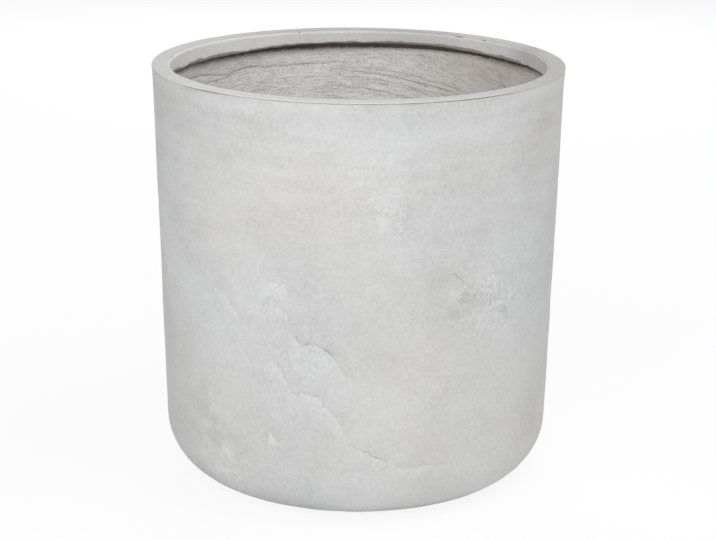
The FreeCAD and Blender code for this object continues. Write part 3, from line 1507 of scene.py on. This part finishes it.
    def build(self) -> bpy.types.Object:
        """Turn the profile and give its face swells, rough patches and creases.

        The height of the face is a slow cloud, plus a fine cloud where a slower one is strong, plus each
        crease and spot, all faded out at the seam and at the standing ring.

        Returns:
            The finished piece.
        """
        skin = TurnedSkin(self.corners(), self.columns)
        places = skin.points()
        below_seam = self.form.seam_level - skin.level
        face = smooth(*self.face_span, skin.outward)
        calm = face * smooth(0.0, self.calm_reach, below_seam)
        swell = Grain(3).clouds(places, self.swell_size, octaves=3) * self.swell_depth
        wander = Grain(11).clouds(places, self.wander_size, octaves=3) * self.wander
        uneven = self.uneven_mean + self.uneven_swing * Grain(13).clouds(places, self.uneven_size, octaves=2)
        uneven = np.clip(uneven, self.uneven_least, 1.0)
        folds = FoldField.gathered(self.all_round(self.front_creases()), skin, wander, uneven)
        raised, bloom, rough, stain = (np.zeros(skin.level.shape) for _ in range(4))
        for spot in self.all_round(self.front_spots()):
            bell = spot.bell(skin)
            raised += bell * spot.height
            bloom += bell * spot.bloom
            rough += bell * spot.rough
            stain += bell * spot.stain
        patch = smooth(*self.patch_span, Grain(5).clouds(places, self.patch_size, octaves=2))
        tongue = folds.soft * smooth(*self.tongue_span, folds.side)
        rough = np.maximum(rough, tongue * self.tongue_rough) + patch * self.patch_rough
        rough = np.clip(rough, 0.0, 1.0)
        coat = Grain(7).clouds(places, self.coat_size, octaves=2) * self.rough_depth
        coat = coat * (self.coat_least + rough)
        height = swell + coat + folds.relief + raised
        flush = smooth(self.flush_reach, 0.0, below_seam) * face * self.flush_swell
        beside_seam = (skin.radius > self.form.mouth_radius) & (below_seam < self.top_edge)
        groove = smooth(*self.groove_span, skin.upward) * beside_seam
        fields = {
            "crease_side": folds.side,
            # crease_soft and crease_line carry the painted shade, light and highlight along the creases.
            "crease_soft": folds.soft * calm,
            "crease_line": folds.line * calm,
            "bloom": np.clip(bloom, 0.0, 1.0) * calm,
            "rough": rough * calm,
            "stain": np.clip(stain, 0.0, 1.0) * calm,
            # Painted shade in the open seam under the rim.
            "seam": groove * Seam().open_share(skin),
        }
        return make_piece("washed_wall", skin.points(height * calm + flush), fields)


@dataclass(frozen=True)
class RimCollar:
    """Cast ring that caps the wall above the seam and laps down inside the mouth.

    Lengths are in metres. A reach is measured outwards from the mouth or upwards from the plain lip.
    """

    form: PotForm
    columns: int = 1440
    top_spacing: float = 0.0022
    face_spacing: float = 0.0012
    hidden_spacing: float = 0.005
    lip_arc_spacing: float = 0.0009
    edge_arc_spacing: float = 0.0004
    hidden_edge: float = 0.0003
    lip_rounding: float = 0.003
    seam_edge: float = 0.0008
    outer_edge: float = 0.0015
    inner_edge: float = 0.0045
    inside_reach: Span = (0.008, 0.004)
    recess_reach: Span = (0.0025, 0.0045)
    low_reach: Span = (0.017, 0.002)
    under_reach: Span = (0.003, 0.001)
    rag_size: float = 0.013
    rag_least: float = -0.2
    rag_depth: float = 0.0008
    chip_depth: float = 0.0008
    chip_from: Span = (0.45, 0.65)
    chip_to: Span = (0.9, 0.75)
    trowel_size: float = 0.045
    trowel_depth: float = 0.00022
    top_span: Span = (0.3, 0.7)
    bare_size: float = 0.05
    bare_mean: float = 0.85
    bare_swing: float = 0.5
    bare_least: float = 0.3
    # Share, spans and front share of the painted shade on the rim's top and outer edge.
    edge_shade: float = 0.6
    edge_span: Span = (0.7, 0.95)
    rim_shade_span: Span = (0.5, 0.95)
    front_spared: float = 0.22
    front_span: Span = (0.2, 1.0)
    groove_span: Span = (-0.05, -0.5)

    def corners(self) -> list[Corner]:
        """Profile of the ring, from its lip along the underside, up inside the wall, out and over the rim.

        Returns:
            Corners in anticlockwise order.
        """
        form = self.form
        lip, seam, top = form.lip_level, form.seam_level, form.height
        mouth, rim = form.mouth_radius, form.rim_radius
        depth = form.shell_thickness
        return [
            Corner(mouth, lip, self.lip_rounding, self.face_spacing, self.lip_arc_spacing),
            Corner(form.wall_radius(depth, lip), lip, self.hidden_edge, self.hidden_spacing),
            Corner(form.wall_radius(depth, seam), seam, self.hidden_edge, self.hidden_spacing),
            Corner(rim, seam, self.seam_edge, self.top_spacing, self.edge_arc_spacing),
            Corner(rim, top, self.outer_edge, self.top_spacing, self.edge_arc_spacing),
            Corner(mouth, top, self.inner_edge, self.face_spacing),
        ]

    def wear(self, skin: TurnedSkin) -> tuple[Array, Array, Array]:
        """How far the lip's edge broke off, how far up the face its bare band with painted highlight and
        shade reaches, and how much darker the ring is there.

        Args:
            skin: grid of the ring.

        Returns:
            Two lengths in metres and a share, by rows and columns: straight lines through a few places round
            the mouth.
        """
        places = np.array((
            (-180.0, 3.8, 8.0, 0.65), (-163.5, 3.5, 8.0, 0.85), (-155.0, 2.3, 7.0, 0.6),
            (-145.5, 0.6, 8.0, 0.45), (-137.5, -0.9, 8.0, 0.25), (-128.5, -1.5, 10.0, 0.0),
            (-110.0, -1.5, 11.0, 0.0), (-60.0, 1.0, 8.0, 0.0), (0.0, 2.5, 5.0, 0.25), (60.0, 1.0, 5.0, 0.8),
            (102.5, 0.2, 5.0, 0.8), (110.8, 0.4, 5.0, 0.9), (112.2, 1.6, 6.0, 1.0), (116.5, 0.0, 9.0, 1.0),
            (124.8, 0.2, 10.0, 0.45), (134.2, 1.2, 11.0, 0.35), (144.5, 2.7, 11.0, 0.45),
            (155.8, 4.6, 10.0, 1.0), (166.2, 4.2, 9.0, 1.0), (180.0, 3.8, 8.0, 0.65),
        ))
        lift, bare, darker_share = (skin.round_table(places[:, [0, column]]) for column in (1, 2, 3))
        return lift * MILLIMETRE, bare * MILLIMETRE, darker_share

    def chips(self, skin: TurnedSkin) -> Array:
        """Share of a chip at each grid point: short breaks along the inner edge of the rim.

        Each break lies at an angle and has a half width, both in degrees, and a flat-topped bell along it.

        Args:
            skin: grid of the ring.

        Returns:
            A value from 0 to 1, by rows and columns.
        """
        breaks = (
            (145.2, 1.5), (135.2, 1.0), (-160.0, 0.4), (-96.0, 0.7), (-31.0, 0.5), (24.0, 0.9), (71.0, 0.5),
        )
        turn = np.degrees(skin.angle)
        along = sum(np.exp(-((turn - angle) / width) ** 4) for angle, width in breaks)
        edge = smooth(*self.chip_from, skin.upward) * smooth(*self.chip_to, skin.upward)
        return along * (edge * (skin.outward < 0.0))

    def build(self) -> bpy.types.Object:
        """Turn the profile, with trowel swells on its faces, chips on the rim and a ragged lower lip.

        The lip moves up by the line of its break and a ragged cloud, by a share that grows from none near the
        top of the collar's face to the whole at its lower edge.

        Returns:
            The finished piece.
        """
        form = self.form
        skin = TurnedSkin(self.corners(), self.columns)
        ring = skin.flattened()
        above_lip = skin.level - form.lip_level
        past_mouth = skin.radius - form.mouth_radius
        inside = smooth(*self.inside_reach, past_mouth)
        rag = np.maximum(Grain(23).clouds(ring, self.rag_size, octaves=3), self.rag_least)
        broken, bare, round_darkening = self.wear(skin)
        lift = (broken + rag * self.rag_depth) * (smooth(*self.low_reach, above_lip) * inside)
        chipped = self.chips(skin) * inside
        trowel = (Grain(25).clouds(skin.points(), self.trowel_size, octaves=3) - 1.0) * self.trowel_depth
        shown = np.maximum(inside, smooth(*self.top_span, skin.upward))
        swell = trowel * shown - chipped * self.chip_depth
        cloud = self.bare_mean + self.bare_swing * Grain(29).clouds(ring, self.bare_size, octaves=2)
        under = smooth(1.0, 0.0, above_lip / bare) * inside * np.clip(cloud, self.bare_least, 1.0)
        at_edge = skin.radius > form.rim_radius - self.outer_edge
        # The rim's top and the outer face of its edge take painted shade, less of it at the front.
        edge_face = self.edge_shade * smooth(*self.edge_span, skin.outward) * at_edge
        rim_shade = np.maximum(smooth(*self.rim_shade_span, skin.upward), edge_face)
        spared = self.front_spared * smooth(*self.front_span, np.cos(skin.angle))
        over_wall = skin.radius > form.rim_radius - form.shell_thickness
        groove = smooth(*self.groove_span, skin.upward) * over_wall
        fields = {
            # The band at the lip that takes the painted highlight and the brown-grey with painted shade.
            "broken": under,
            # Painted shade in the recess under the lip.
            "recess": smooth(*self.recess_reach, past_mouth) * smooth(*self.under_reach, above_lip),
            # Painted shade in the chips.
            "chipped": np.clip(chipped, 0.0, 1.0),
            # Painted shade on the rim's top and outer edge.
            "rim_shade": rim_shade * (1.0 - spared),
            # How much darker the ring is, by angle.
            "round_darkening": round_darkening,
            # Painted shade in the open seam.
            "seam": groove * Seam().open_share(skin),
        }
        return make_piece("rim_collar_cast", skin.points(swell, lift), fields)


@dataclass(frozen=True)
class FibreLining:
    """Hand-laid lining coat with its floor, set back behind the collar."""

    form: PotForm
    columns: int = 384
    near_rim_spacing: float = 0.0010
    wall_spacing: float = 0.0036
    floor_spacing: float = 0.005
    seat_spacing: float = 0.003
    top_spacing: float = 0.002
    hidden_spacing: float = 0.060
    hidden_edge: float = 0.0005
    top_edge: float = 0.002
    near_rim_depth: float = 0.075
    seat_margin: float = 0.004
    plug_margin: float = 0.006
    inner_span: Span = (0.1, 0.4)
    floor_span: Span = (0.3, 0.7)
    darker_right_span: Span = (0.1, 0.8)
    drift_size: float = 0.05
    drift: float = 0.002
    stroke_width: float = 0.010
    stroke_squeeze: float = 0.06
    stroke_depth: float = 0.00025
    swell_size: float = 0.05
    swell_depth: float = 0.0009
    wander_size: float = 0.02
    wander: float = 0.001

    def corners(self) -> list[Corner]:
        """Profile of the coat, from the drain hole up its hidden side and down its brushed side.

        Returns:
            Corners in anticlockwise order.
        """
        form = self.form
        lip, seat = form.lip_level, form.seat_level
        depth = form.lining_depth + form.lining_thickness
        edge = seat + form.floor_fall
        rounding = form.base_edge_radius - depth
        split = lip - self.near_rim_depth
        outside = form.cup_line(form.lining_depth, self.hidden_edge, self.hidden_spacing)
        inside = [
            Corner(form.wall_radius(form.lining_depth, lip), lip, self.hidden_edge, self.top_spacing),
            Corner(form.wall_radius(depth, lip), lip, self.top_edge, self.near_rim_spacing),
            Corner(form.wall_radius(depth, split), split, 0.0, self.wall_spacing),
            Corner(form.wall_radius(depth, edge), edge, rounding, self.floor_spacing, self.floor_spacing),
            Corner(form.flange_radius + self.seat_margin, seat, 0.0, self.seat_spacing),
            Corner(form.drain_radius, seat, self.hidden_edge, self.seat_spacing),
        ]
        return outside + inside

    def stroke_rise(self) -> Route:
        """How far the brush strokes rise or dip round the mouth, in degrees and millimetres."""
        return (
            (-180.0, 0.0), (-166.0, 1.0), (-151.0, 0.5), (-143.0, 2.5), (-133.0, -5.0), (-120.0, -10.0),
            (-80.0, -24.0), (-40.0, -10.0), (0.0, -22.0), (50.0, -40.0), (90.0, -44.0), (120.0, -38.0),
            (148.0, -21.0), (161.0, -11.0), (170.0, -4.5), (180.0, 0.0),
        )

    def lip_shadow_depth(self, skin: TurnedSkin) -> Array:
        """How far below the collar the painted shadow reaches down the wall, in metres, by straight lines
        through a few places.

        Args:
            skin: grid of the coat.

        Returns:
            A depth by rows and columns.
        """
        places = np.array((
            (-180.0, 10.0), (-163.0, 12.0), (-145.0, 13.0), (-128.0, 15.0), (-110.0, 13.0), (0.0, 10.0),
            (110.0, 13.0), (125.0, 15.0), (134.0, 12.0), (144.0, 8.0), (156.0, 6.0), (166.0, 8.0),
            (180.0, 10.0),
        ))
        return skin.round_table(places) * MILLIMETRE

    def laps(self) -> list[Crease]:
        """Edges of the last brushed layer: three that the mouth shows at the back, and more lower down.

        Returns:
            Creases on the inside of the coat.
        """
        lap = Crease(
            (
                (-108, 452), (-117, 454), (-125, 456.5), (-133, 459.6), (-137.6, 465), (-143, 468.3),
                (-151.5, 465.7), (-166.5, 466.7), (-180, 465.3),
            ),
            depth=0.0006,
            line=(1.0,),
            upper_reach=0.006,
            lower_reach=0.0015,
            swell_share=0.3,
            swell_reach=0.012,
            side=-1.0,
        )
        upper = ((-108, 466), (-117.4, 468.2), (-124.3, 467.4), (-132.6, 462.5), (-136, 461))
        right = ((188, 458), (180, 454.6), (169, 449), (161, 443), (153, 437.6), (148, 433.3), (140, 427))
        back = [lap, replace(lap, route=upper), replace(lap, route=right)]
        combed = replace(back[-1], depth=0.0004, line=(0.65,))
        copies = ((-3.0, 5.0), (2.0, -7.0), (-2.0, -13.0), (4.0, -20.0))
        back += [combed.moved(degrees, lift) for degrees, lift in copies]
        turns = ((95.0, -14.0), (-70.0, -60.0), (25.0, -110.0), (150.0, -170.0), (-140.0, -230.0))
        return back + [edge.moved(degrees, lift) for degrees, lift in turns for edge in back]

    def build(self) -> bpy.types.Object:
        """Turn the profile and give its inner side swells, brush strokes and laps.

        A stroke is noise on a pot squeezed to a small share of its radius, so that it runs far round the
        wall. Its height there is the way along the profile, shifted by how the strokes rise round the mouth.

        Returns:
            The finished piece.
        """
        form = self.form
        skin = TurnedSkin(self.corners(), self.columns)
        places = skin.points()
        clear_of_plug = smooth(form.flange_radius, form.flange_radius + self.plug_margin, skin.radius)
        brushed = smooth(*self.inner_span, -skin.outward) + smooth(*self.floor_span, skin.upward)
        brushed = np.clip(brushed, 0.0, 1.0) * clear_of_plug
        across = skin.run + skin.round_table(smooth_route(self.stroke_rise())) * MILLIMETRE
        across = across + Grain(31).clouds(places, self.drift_size, octaves=2) * self.drift
        lanes = skin.stretched(across, self.stroke_squeeze)
        stroke = Grain(33).clouds(lanes, self.stroke_width, octaves=2) * self.stroke_depth
        swell = Grain(35).clouds(places, self.swell_size, octaves=3) * self.swell_depth
        wander = Grain(37).clouds(places, self.wander_size, octaves=2) * self.wander
        laps = FoldField.gathered(self.laps(), skin, wander)
        height = (stroke + swell + laps.relief) * brushed
        # How far the painted shadow under the collar reaches at each grid point.
        under_lip = smooth(1.0, 0.0, (form.lip_level - skin.level) / self.lip_shadow_depth(skin))
        fields = {
            "across": across,
            "lap_side": laps.side,
            "lap_line": laps.line,
            "lip_shadow": under_lip * brushed,
            # Darker and warmer towards the right side.
            "flush": smooth(*self.darker_right_span, np.sin(skin.angle)) * brushed,
        }
        return make_piece("brushed_lining", skin.points(height), fields)


@dataclass(frozen=True)
class DrainPlug:
    """Flanged rubber stopper with barbed ribs, hollow from below."""

    form: PotForm
    columns: int = 96
    clearance: float = 0.0003
    flange_thickness: float = 0.0035
    flange_edge: float = 0.0012
    end_gap: float = 0.001
    rib_count: int = 3
    rib_height: float = 0.0016
    rib_land: float = 0.0011
    rib_edge: float = 0.00025
    wall: float = 0.0032
    spacing: float = 0.0012

    def corners(self) -> list[Corner]:
        """Profile of the stopper, from its lower end up the ribs, over the flange and down the axis.

        Returns:
            Corners in anticlockwise order.
        """
        form = self.form
        rib = form.drain_radius - self.clearance
        core = rib - self.rib_height
        hollow = core - self.wall
        end = form.underside_recess + self.end_gap
        seat = form.seat_level
        top = seat + self.flange_thickness
        pitch = (seat - end) / self.rib_count
        corners = [Corner(hollow, end, self.rib_edge, self.spacing)]
        for index in range(self.rib_count):
            root = end + index * pitch
            crest = root + pitch / 2.0
            corners += [
                Corner(core, root, self.rib_edge, self.spacing),
                Corner(rib, crest, self.rib_edge, self.spacing),
                Corner(rib, crest + self.rib_land, self.rib_edge, self.spacing),
                Corner(core, crest + self.rib_land, self.rib_edge, self.spacing),
            ]
        corners += [
            Corner(core, seat, self.rib_edge, self.spacing),
            Corner(form.flange_radius, seat, self.rib_edge, self.spacing),
            Corner(form.flange_radius, top, self.flange_edge, self.spacing),
            Corner(0.0, top, 0.0, self.flange_thickness),
            Corner(0.0, seat, 0.0, self.spacing),
            Corner(hollow, seat, self.rib_edge, self.spacing),
        ]
        return corners

    def build(self) -> bpy.types.Object:
        """Turn the profile and merge its two rows on the axis into poles.

        Returns:
            The finished piece.
        """
        skin = TurnedSkin(self.corners(), self.columns)
        piece = make_piece("drain_stopper", skin.points())
        close_poles(piece)
        return piece


@dataclass(frozen=True)
class Lamp:
    """Soft square lamp that faces the middle of the pot.

    The level is what the lamp alone gives a white surface that faces it, where 1 shows as white.
    """

    name: str
    azimuth: float
    elevation: float
    level: float
    distance: float = 3.6
    width: float = 2.4

    def build(self, middle: Vector) -> None:
        """Place the lamp on its bearing from the middle of the pot and set its power.

        The power is level times pi squared times the distance squared, as for a matt lamp far off.

        Args:
            middle: point that the lamp faces.
        """
        data = bpy.data.lights.new(self.name, "AREA")
        data.shape = "SQUARE"
        data.size = self.width
        data.energy = self.level * (math.pi * self.distance) ** 2
        turn, rise = math.radians(self.azimuth), math.radians(self.elevation)
        bearing = Vector((math.sin(turn) * math.cos(rise), -math.cos(turn) * math.cos(rise), math.sin(rise)))
        lamp = bpy.data.objects.new(self.name, data)
        lamp.location = middle + bearing * self.distance
        lamp.rotation_mode = "QUATERNION"
        lamp.rotation_quaternion = (-bearing).to_track_quat("-Z", "Y")
        bpy.context.scene.collection.objects.link(lamp)


@dataclass(frozen=True)
class Studio:
    """Pale floor, white surround, soft lamps and the camera."""

    lamps: tuple[Lamp, ...] = (
        Lamp("front_lamp", 0.0, 30.0, 0.31),
        Lamp("left_lamp", -40.0, 35.0, 0.28),
        Lamp("right_lamp", 70.0, 60.0, 0.42),
        Lamp("back_lamp", 180.0, 25.0, 0.42),
    )
    floor_reach: float = 12.0
    floor_colour: Colour = (252, 252, 252)
    floor_glow: float = 0.88
    surround: float = 0.2
    camera_tilt: float = 16.444
    camera_distance: float = 2.4545
    camera_aim: float = 0.2478
    camera_side: float = 0.0013
    camera_roll: float = 0.47
    camera_lens: float = 98.65
    sensor: float = 36.0

    def white_share(self, sheet: NodeSheet) -> Socket:
        """1 on rays from the camera, in reflections and through clear things, and 0 on the rest.

        Args:
            sheet: node tree to read it in.

        Returns:
            The share.
        """
        path = sheet.node("LightPath")
        share = path.outputs["Is Camera Ray"]
        for name in ("Is Glossy Ray", "Is Transmission Ray"):
            share = sheet.reckon(Sum.MOST, share, path.outputs[name])
        return share

    def build_surround(self) -> None:
        """White surround that lights the pot at its own lower strength."""
        world = bpy.data.worlds.new("surround")
        world.use_nodes = True
        bpy.context.scene.world = world
        sheet = NodeSheet(world.node_tree)
        shown = self.white_share(sheet)
        strength = sheet.node("MapRange", {"Value": shown, "To Min": self.surround, "To Max": 1.0})
        background = sheet.node("Background", {"Color": WHITE, "Strength": strength.outputs["Result"]})
        sheet.node("OutputWorld", {"Surface": background.outputs["Background"]})

    def build_floor(self) -> None:
        """Pale matt floor that stays near white to the camera and keeps a faint shadow of the pot."""
        square = np.array([(-1.0, -1.0, 0.0), (1.0, -1.0, 0.0), (1.0, 1.0, 0.0), (-1.0, 1.0, 0.0)])
        floor = make_mesh("floor", square * self.floor_reach, np.array([[0, 1, 2, 3]]), {})
        material = bpy.data.materials.new("pale_floor")
        material.use_nodes = True
        sheet = NodeSheet(material.node_tree)
        matt = sheet.node("BsdfDiffuse", {"Color": linear(self.floor_colour)})
        glow = sheet.node("Emission")
        share = sheet.reckon(Sum.TIMES, self.white_share(sheet), self.floor_glow)
        mix = sheet.node("MixShader", {"Fac": share, 1: matt.outputs["BSDF"], 2: glow.outputs["Emission"]})
        sheet.node("OutputMaterial", {"Surface": mix.outputs["Shader"]})
        floor.data.materials.append(material)

    def build_camera(self) -> None:
        """Long lens from the front, a little above the rim, with the slight roll that the view has."""
        data = bpy.data.cameras.new("camera")
        data.sensor_width = self.sensor
        data.lens = self.camera_lens
        camera = bpy.data.objects.new("camera", data)
        tilt = math.radians(self.camera_tilt)
        middle = Vector((0.0, 0.0, self.camera_aim))
        camera.location = middle + Vector((0.0, -math.cos(tilt), math.sin(tilt))) * self.camera_distance
        facing = middle + Vector((self.camera_side, 0.0, 0.0)) - camera.location
        roll = Quaternion((0.0, 0.0, 1.0), math.radians(self.camera_roll))
        camera.rotation_mode = "QUATERNION"
        camera.rotation_quaternion = facing.to_track_quat("-Z", "Y") @ roll
        bpy.context.scene.collection.objects.link(camera)
        bpy.context.scene.camera = camera

    def build(self) -> None:
        """Set up the surround, the floor, the lamps and the camera."""
        bpy.context.scene.view_settings.view_transform = "Standard"
        self.build_surround()
        self.build_floor()
        for lamp in self.lamps:
            lamp.build(Vector((0.0, 0.0, self.camera_aim)))
        self.build_camera()


def main() -> None:
    """Load the frame, build each layer with its finish, and set up the studio round it."""
    logging.basicConfig(level=logging.INFO, format="%(message)s")
    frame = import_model()
    form = PotForm()
    fit(FaceShell(form).build(), Body.POT, Node.SHELL, WashedCement().material())
    fit(RimCollar(form).build(), Body.POT, Node.COLLAR, CastCement().material())
    fit(FibreLining(form).build(), Body.POT, Node.LINING, BrushedCement().material())
    fit(DrainPlug(form).build(), Body.PLUG, Node.PLUG, MouldedRubber().material())
    mat = frame["nodes"][Node.MAT.value]
    mat.data.materials.clear()
    mat.data.materials.append(GlassFibre().material())
    LOG.info("%s keeps its solid", mat.name)
    Studio().build()


if __name__ == "__main__":
    main()
